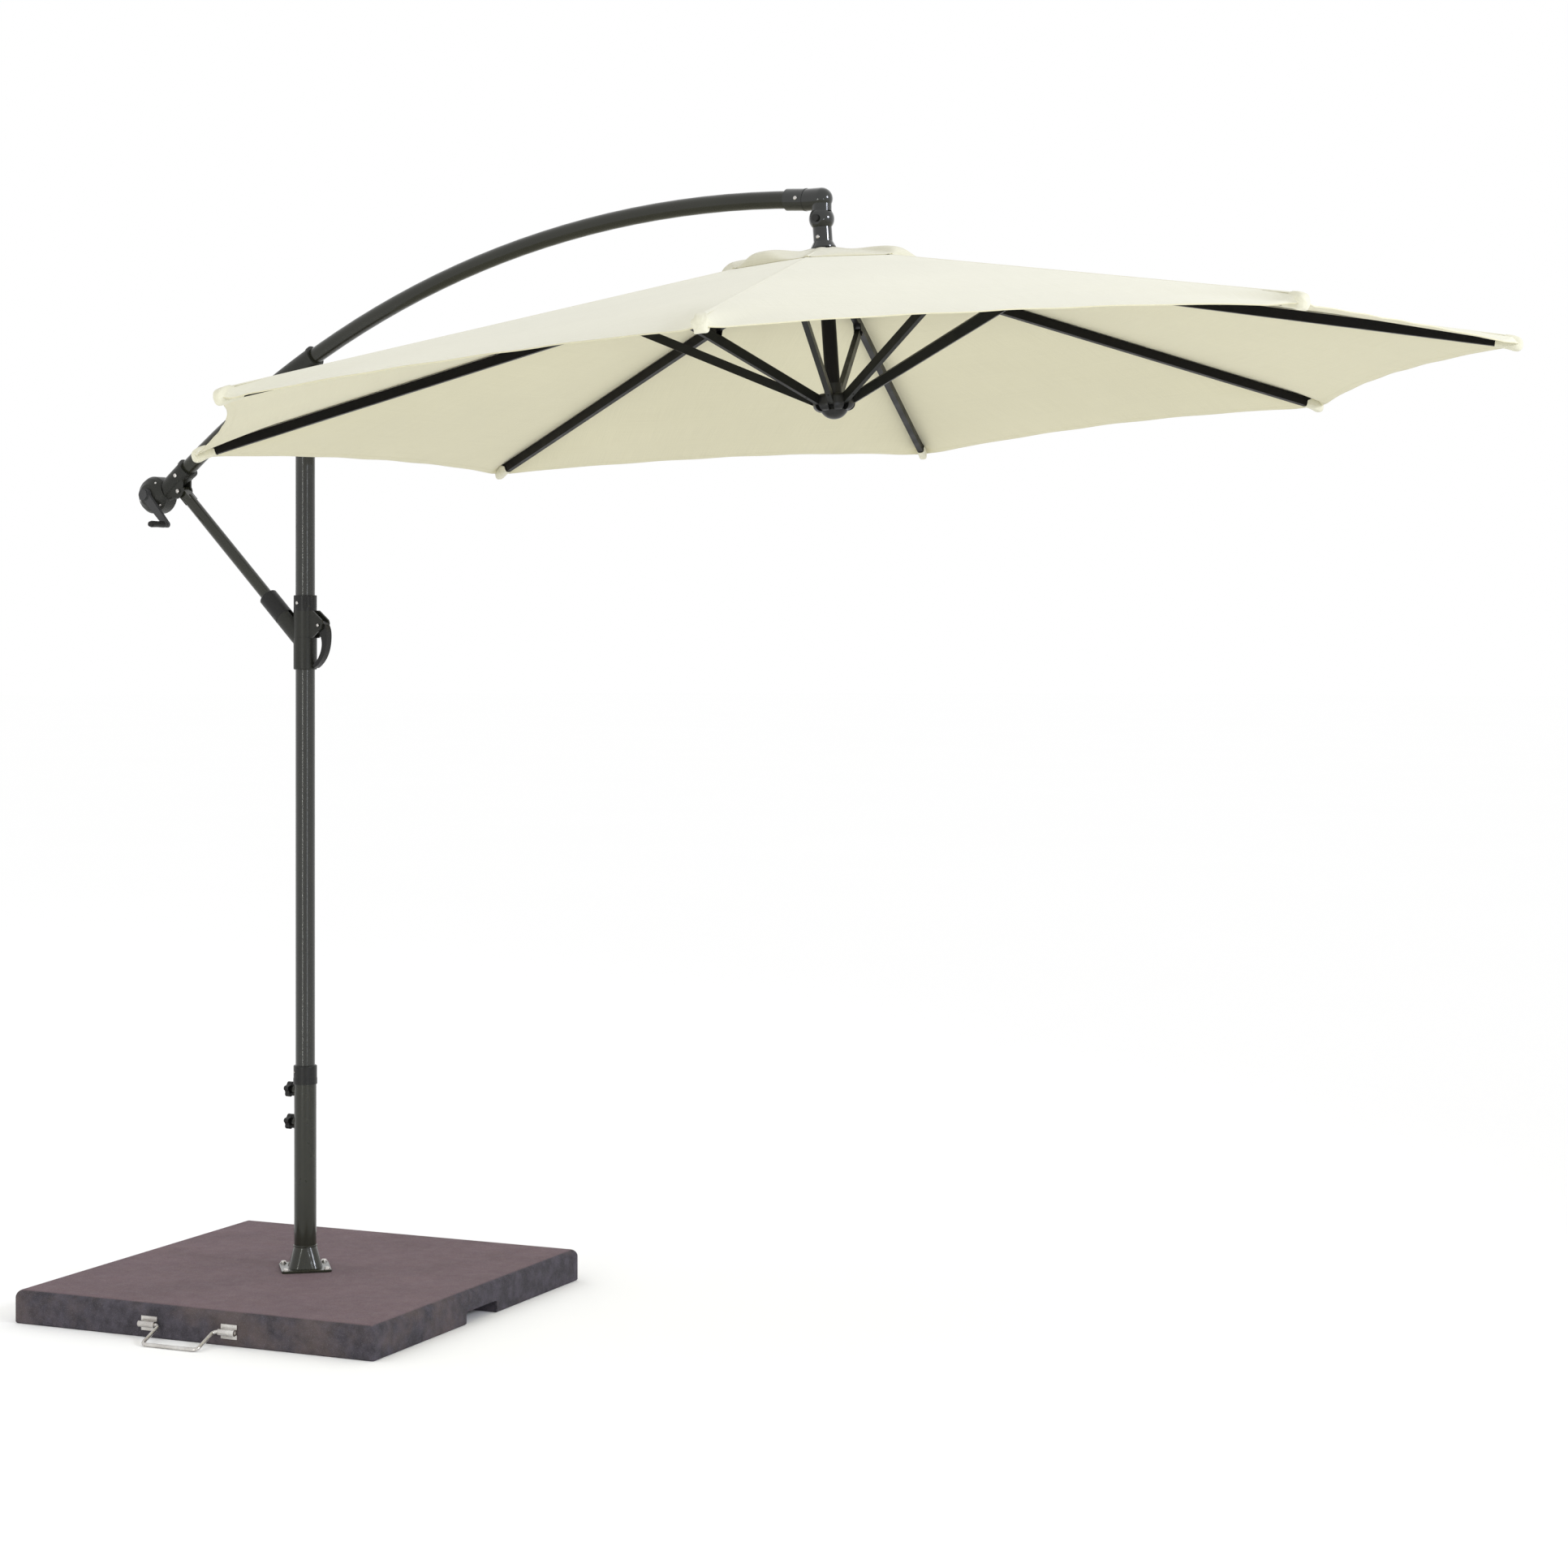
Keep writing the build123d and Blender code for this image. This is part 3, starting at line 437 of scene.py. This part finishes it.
def folds(n, r, s, hem_r, gather):
    """Height of the cloth off its plane: it tents over the ribs, sags at the hem and gathers at the corners."""
    chord = 2 * r * math.sin(STEP_ANGLE / 2)
    to_seam = chord * np.minimum(s, 1 - s)
    to_hem = hem_r - r
    corner = np.where(s < 0.5, gather[0], gather[1])
    tent = 0.026 + 0.170 * smooth(to_hem / 0.45)
    slack = 1 - np.exp(-(to_seam / tent) ** 1.5)
    height = -HEM_SAG * slack * (r / CORNER_R) ** 2.2
    height -= 0.011 * corner * slack * np.exp(-to_seam / 0.16) * np.exp(-to_hem / 0.10)
    past_rib = smooth((r - RIB_END) / (CORNER_R - RIB_END))
    height -= TIP_DIP * past_rib * (1 - slack) + 0.002 * past_rib * slack
    free = 1 - np.exp(-to_seam / 0.010)
    height += 0.0005 * np.sin(math.tau * r / 0.047 + 1.7 * n) * np.exp(-to_seam / 0.018) * free
    outwards = np.maximum(CORNER_R - r, 0.0) + 0.030
    reach, bearing = np.hypot(to_seam, outwards), np.arctan2(to_seam, outwards)
    phase = np.where(s < 0.5, 0.6 + 0.9 * n, 0.6 + 0.9 * (n + 1))
    ripple = np.sin(8.0 * bearing + phase) + 0.5 * np.sin(13.0 * bearing - phase)
    height += (0.0012 + 0.0022 * corner) * ripple * np.exp(-reach / 0.090) * smooth(to_seam / 0.05)
    wave = np.sin(5.1 * s + 1.3 * n) * np.sin(3.3 * r / CORNER_R + 0.7 * n)
    height += 0.0022 * wave * np.sin(np.pi * s) * (r / CORNER_R)
    height += 0.0008 * np.sin(math.tau * s * 6.0 + n) * np.exp(-to_hem / 0.030) * np.sin(np.pi * s)
    return height


def corner_strength(n):
    """How hard the cloth is gathered at each corner; the ones beside the camera are pulled most."""
    return {6: 1.0, 7: 1.3, 8: 0.8}.get((n - 1) % GORES + 1, 0.2)


def build_gore(n):
    s_line = gore_spread()
    t_line = np.concatenate([np.linspace(0.0, 0.90, 40), np.linspace(0.912, 0.974, 7),
                             np.linspace(0.979, 1.0, 10)])
    t, s = np.meshgrid(t_line, s_line, indexing="ij")
    hem_r = CORNER_R - HEM_HOLLOW / math.cos(STEP_ANGLE / 2) * 4 * s * (1 - s)
    r = MAIN_INNER_R + t * (hem_r - MAIN_INNER_R)
    flat = on_gore(n, r, s)
    normal = gore_normal(n)
    height = folds(n, r, s, hem_r, (corner_strength(n), corner_strength(n + 1)))
    to_hem = (hem_r - r) * math.cos(STEP_ANGLE / 2)
    doubled = smooth((HEM_WIDTH - to_hem) / 0.003 + 0.5)
    lower = flat + (height - 0.0007 * doubled)[..., None] * normal
    upper = flat + (height + CLOTH_THICK + 0.0005 * doubled)[..., None] * normal
    chord = 2 * r * math.sin(STEP_ANGLE / 2)
    weave = np.stack([chord * (s - 0.5), r], -1)
    edge = np.stack([chord * np.minimum(s, 1 - s), to_hem], -1)
    # painted shade: the gore's lower skin gets the darker underside copy of the cloth
    return shell(f"canopy_gore_{n}", to_row(upper), to_row(lower), weave, edge,
                 [MATERIALS["canopy_cloth"], SHADED_UNDERSIDE])


def build_vent(n):
    """Gore n of the vent cap: its hem lies on the canopy, and the panel puffs up and rolls over inside it."""
    s_line = gore_spread()
    t_line = np.concatenate([np.linspace(0.0, 0.82, 20), np.linspace(0.84, 0.985, 16), [0.993, 1.0]])
    t, s = np.meshgrid(t_line, s_line, indexing="ij")
    r = VENT_INNER_R + t * (VENT_R - VENT_INNER_R)
    bend = s + VENT_LEAN[n - 1] * s * (1 - s)
    crest = 0.86
    climb = np.sin(np.pi / 2 * np.minimum(t / crest, 1.0)) ** 2.2
    tuck = np.sqrt(np.clip(1 - (np.maximum(t - crest, 0.0) / (1 - crest)) ** 2, 0.0, 1.0))
    hump = np.sin(np.pi * bend) ** 1.6 + 0.22 * np.sin(math.tau * bend) ** 2 * t ** 2
    chord = 2 * r * math.sin(STEP_ANGLE / 2)
    to_seam = chord * np.minimum(s, 1 - s)
    main = folds(n, r, s, np.full_like(r, CORNER_R - HEM_HOLLOW), (0.0, 0.0)) + CLOTH_THICK
    rest = 0.0001 + SEAM_RISE * np.exp(-(to_seam / 0.0095) ** 4) + 0.0030 * (1 - t) ** 2
    height = main + rest + VENT_PUFF[n - 1] * hump * climb * tuck
    hollow = 0.004 * 4 * s * (1 - s) * t ** 3
    flat = on_gore(n, r - hollow, s)
    normal = gore_normal(n)
    lower = flat + height[..., None] * normal
    upper = lower + CLOTH_THICK * normal
    weave = np.stack([chord * (s - 0.5), r], -1)
    edge = np.stack([to_seam, VENT_R - r], -1)
    # painted shade: the upper skin takes the darker vent copy of the cloth, the lower skin the darker underside
    # copy
    return shell(f"vent_gore_{n}", to_row(upper), to_row(lower), weave, edge, [SHADED_VENT_CLOTH, SHADED_UNDERSIDE])


def strip(name, n, start, end, lift, cross):
    """A sewn band along rib line n: cross is its outline as (sideways, up) pairs, anticlockwise."""
    stations = 90
    r = np.linspace(start, end, stations)
    ray, side, up = rib_axes(n)
    line = r[:, None] * ray
    line[:, 2] = -RIB_FALL * r
    rows = []
    for i in range(stations):
        squeeze = 1 + 0.03 * math.sin(r[i] / 0.0075 + n)
        rows.append([line[i] + side * x * squeeze + up * (z + lift) for x, z in cross])
    points = to_row(np.array(rows).reshape(-1, 3))
    columns = len(cross)
    faces = grid_faces(stations, columns, 0, wrap=True)
    faces.append(list(range(columns))[::-1])
    faces.append([(stations - 1) * columns + j for j in range(columns)])
    piece = add_piece(name, points, faces, [MATERIALS["canopy_cloth"], SHADED_UNDERSIDE])
    across = np.array([x for x, z in cross] * stations)
    weave = np.stack([across, np.repeat(r, columns)], -1)
    edge = np.stack([np.abs(across), np.full(len(across), 1.0)], -1)
    put_map(piece.data, "Weave", weave)
    put_map(piece.data, "Edge", edge)
    # painted shade: faces of the seam that turn downwards get the darker underside copy of the cloth
    for polygon in piece.data.polygons:
        if polygon.normal.z < 0:
            polygon.material_index = 1
    return piece


# half of a felled seam's outline, anticlockwise: the turned allowance underneath, then the top
SLOPE_SIDE = 0.0939
SEAM_HALF = [(x, z - SLOPE_SIDE * x) for x, z in (
    (0.0001, -0.0006), (0.0045, -0.0008), (0.0080, -0.0006), (0.0086, 0.0002),
    (0.0060, 0.0008), (0.0050, 0.0014), (0.0022, 0.0018), (0.0001, 0.0019))]
SEAM_MIRRORED = [(-x, z) for x, z in SEAM_HALF[::-1]]


def narrowed(outline):
    """A seam's outline at the width of the vent cap's seams."""
    return [(0.75 * x, z) for x, z in outline]


def build_pocket(n):
    """The cloth pocket at each corner: a sleeve round the rib's end, longer below, closed at its outer end."""
    rows, columns = 28, 44
    ray, side, up = rib_axes(n)
    loose = corner_strength(n)

    def skin(inset):
        points = []
        for u in np.linspace(0.0, 1.0, rows):
            closing = max(0.03, math.sqrt(max(0.0, 1 - max(0.0, (u - 0.62) / 0.38) ** 2.8)))
            for a in np.linspace(0.0, math.tau, columns, endpoint=False):
                c, d = math.cos(a), math.sin(a)
                mouth = 1.446 + 0.022 * max(0.0, d) ** 0.5
                r = mouth + (CORNER_R + 0.005 - inset - mouth) * u
                crease = 0.085 * loose * math.sin(5 * a + 1.3 * n + 4 * u) * min(1.0, 3 * u)
                wide = (0.0100 + 0.0055 * loose * u - inset) * closing * (1 + crease)
                high = (0.0152 + 0.0012 * loose - inset) * closing * (1 + 0.5 * crease)
                x = wide * math.copysign(abs(c) ** 0.6, c)
                z = -0.0128 - 0.0050 * smooth((u - 0.3) / 0.7) + high * math.copysign(abs(d) ** 0.6, d)
                points.append(ray * r + np.array([0, 0, -RIB_FALL * r]) + side * x + up * z)
        return np.array(points)

    points = to_row(np.concatenate([skin(0.0), skin(0.0012)]))
    count = rows * columns
    faces = grid_faces(rows, columns, 0, wrap=True) + grid_faces(rows, columns, count, flip=True, wrap=True)
    for j in range(columns):
        k = (j + 1) % columns
        faces.append([k, j, count + j, count + k])
    last = [count - columns + j for j in range(columns)]
    faces += [last, [count + k for k in last][::-1]]
    # painted shade: the pocket is made of the darker pocket copy of the cloth
    piece = add_piece(f"corner_pocket_{n}", points, faces, [SHADED_POCKET_CLOTH])
    v_map, r_map = np.meshgrid(np.linspace(0.0, 0.090, columns), np.linspace(0.0, 0.060, rows))
    weave = np.stack([v_map, r_map], -1).reshape(-1, 2)
    put_map(piece.data, "Weave", np.concatenate([weave] * 2))
    put_map(piece.data, "Edge", np.concatenate([np.stack([np.ones(count), r_map.ravel() + 0.010], -1)] * 2))
    return piece


for n in range(1, GORES + 1):
    gore, vent = build_gore(n), build_vent(n)
    middle = rib_angle(n) + STEP_ANGLE / 2
    across = Vector((-math.sin(middle), math.cos(middle), 0.0))
    across.rotate(TO_ROW.to_3x3())
    for piece in (gore, vent):
        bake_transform(piece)
        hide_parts(f"gore_{n}_near", f"gore_{n}_far")
    vent_seams = []
    for end, line, outline in (("near", n, SEAM_HALF), ("far", n % GORES + 1, SEAM_MIRRORED)):
        vent_seams.append(strip(f"vent_seam_{n}_{end}", line, VENT_INNER_R, VENT_R,
                                CLOTH_THICK + SEAM_RISE + 0.0006, narrowed(outline)))
        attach(vent_seams[-1], f"cloth_{n}_{end}")
    seam = strip(f"seam_{n}", n, MAIN_INNER_R, RIB_END - 0.004, 0.0, SEAM_HALF + SEAM_MIRRORED)
    pocket = build_pocket(n)
    for piece in (seam, pocket):
        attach(piece, f"rib_{n}")


# ---------------------------------------------------------------- small hardware
def lathe(name, profile, at, axis, slot, body, sides=24):
    """A turned piece: profile is (radius, height) pairs from the base up, along axis from at."""
    axis = Vector(axis).normalized()
    turn = axis.to_track_quat("Z", "Y").to_matrix()
    points = []
    for radius, height in profile:
        for k in range(sides):
            a = math.tau * k / sides
            points.append(Vector(at) + turn @ Vector((radius * math.cos(a), radius * math.sin(a), height)))
    faces = grid_faces(len(profile), sides, 0, wrap=True)
    faces.append(list(range(sides))[::-1])
    faces.append([(len(profile) - 1) * sides + k for k in range(sides)])
    piece = add_piece(name, points, faces, [MATERIALS[slot]])
    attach(piece, body)
    return piece


def land(node, start, direction):
    """Where a ray first meets a CAD node, and the surface's normal there."""
    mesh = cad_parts[node].data
    tree = BVHTree.FromPolygons([v.co for v in mesh.vertices], [list(p.vertices) for p in mesh.polygons])
    place, normal, _, _ = tree.ray_cast(Vector(start), Vector(direction))
    if place is None:
        raise SystemExit(f"nothing of {node} is met from {start}")
    if normal.dot(Vector(direction)) > 0:
        normal = -normal
    return place, normal


def rivet(name, node, start, direction, body, radius=0.0046, high=0.0020):
    """A domed rivet head standing on a CAD surface."""
    place, normal = land(node, start, direction)
    profile = [(radius, -0.0008), (radius, 0.0003)]
    for k in range(1, 7):
        a = math.pi / 2 * k / 6
        profile.append((max(radius * math.cos(a), radius * 0.04), 0.0003 + high * math.sin(a)))
    return lathe(name, profile, place, normal, "steel", body, 20)


FRONT, BACK = (0, 1, 0), (0, -1, 0)
for end, way in (("front", FRONT), ("rear", BACK)):
    y = -0.3 * way[1]
    rivet(f"rivet_elbow_{end}", "elbow", (1.4503, y, 2.6301), way, "arm")
    rivet(f"rivet_socket_{end}", "mast_socket", (1.5083, y, 2.5400), way, "mast")
    rivet(f"rivet_tail_{end}", "crank_housing", (-0.4103, y, 2.0516), way, "arm", 0.0052)
    rivet(f"rivet_strut_{end}", "strut_tube", (-0.4060, y, 2.0120), way, "strut", 0.0056, 0.0024)
rivet("rivet_latch", "latch_lever", (0.0540, -0.3, 1.6730), FRONT, "latch", 0.0040, 0.0016)
rivet("rivet_collar", "runner_collar", (-0.029, -0.3, 1.728), (0.096, 0.995, 0), "runner", 0.0042)
for k, (x, z) in enumerate(((-0.462, 1.978), (-0.474, 2.034), (-0.520, 1.990)), 1):
    rivet(f"screw_cover_{k}", "housing_cover", (x, -0.3, z), FRONT, "arm", 0.0028, 0.0012)

guide_at, guide_up = land("crank_housing", (-0.400, 0.0, 2.300), (0.05, 0.0, -1.0))
lathe("line_guide", [(0.0130, -0.004), (0.0135, 0.004), (0.0132, 0.008), (0.0115, 0.0115), (0.0080, 0.0138),
                     (0.0030, 0.0148)], guide_at, guide_up, "dark_plastic", "arm")

# ---------------------------------------------------------------- floor, light and camera
floor_material = Shade("studio_floor", (1.0, 1.0, 1.0), 0.9, specular=0.0)
floor_tone = floor_material.mix(floor_material.noise(0.6, 2.0), (0.992, 0.992, 0.990), (1.0, 1.0, 1.0))
floor_material.colour(floor_tone)
ring = [(60 * math.cos(math.tau * k / 96), 60 * math.sin(math.tau * k / 96), -0.0005) for k in range(96)]
floor = add_piece("studio_floor", ring, [list(range(96))], [floor_material.mat])

scene = bpy.context.scene
scene.view_settings.view_transform = "Standard"
world = bpy.data.worlds.new("studio")
scene.world = world
world.use_nodes = True
world.node_tree.nodes["Background"].inputs["Color"].default_value = (1.0, 1.0, 1.0, 1.0)
world.node_tree.nodes["Background"].inputs["Strength"].default_value = 1.0


def lamp(name, at, towards, size, power, colour=(1.0, 1.0, 1.0), tall=None, spread=180.0):
    """A soft box that the camera doesn't see, turned from its place to a point."""
    light = bpy.data.lights.new(name, "AREA")
    light.shape = "RECTANGLE"
    light.size, light.size_y = size, tall or size
    light.energy, light.color = power, colour
    light.spread = math.radians(spread)
    holder = bpy.data.objects.new(name, light)
    bpy.context.collection.objects.link(holder)
    holder.location = at
    holder.rotation_mode = "QUATERNION"
    holder.rotation_quaternion = (Vector(towards) - Vector(at)).to_track_quat("-Z", "Y")
    holder.visible_camera = False
    return holder


lamp("key", (7.6, 0.5, 4.0), (1.5, 0.0, 2.35), 1.2, 31.0, (0.84, 0.88, 1.0), spread=70.0)
lamp("strip_left", (0.70, -4.24, 1.20), (0.0, 0.0, 1.20), 0.06, 24.0, (0.98, 1.0, 0.94), 2.5)
lamp("strip_right", (3.86, -1.88, 1.20), (0.0, 0.0, 1.20), 0.10, 15.0, (0.86, 0.92, 1.0), 2.3)

camera = bpy.data.cameras.new("camera")
camera.lens, camera.sensor_width = 75.17, 36.0
camera.shift_y = -0.1106
camera.clip_end = 300.0
eye = bpy.data.objects.new("camera", camera)
bpy.context.collection.objects.link(eye)
eye.location = (5.356, -6.201, 1.709)
eye.rotation_mode = "QUATERNION"
eye.rotation_quaternion = Vector((-0.5373, 0.8434, 0.0)).to_track_quat("-Z", "Y")
scene.camera = eye
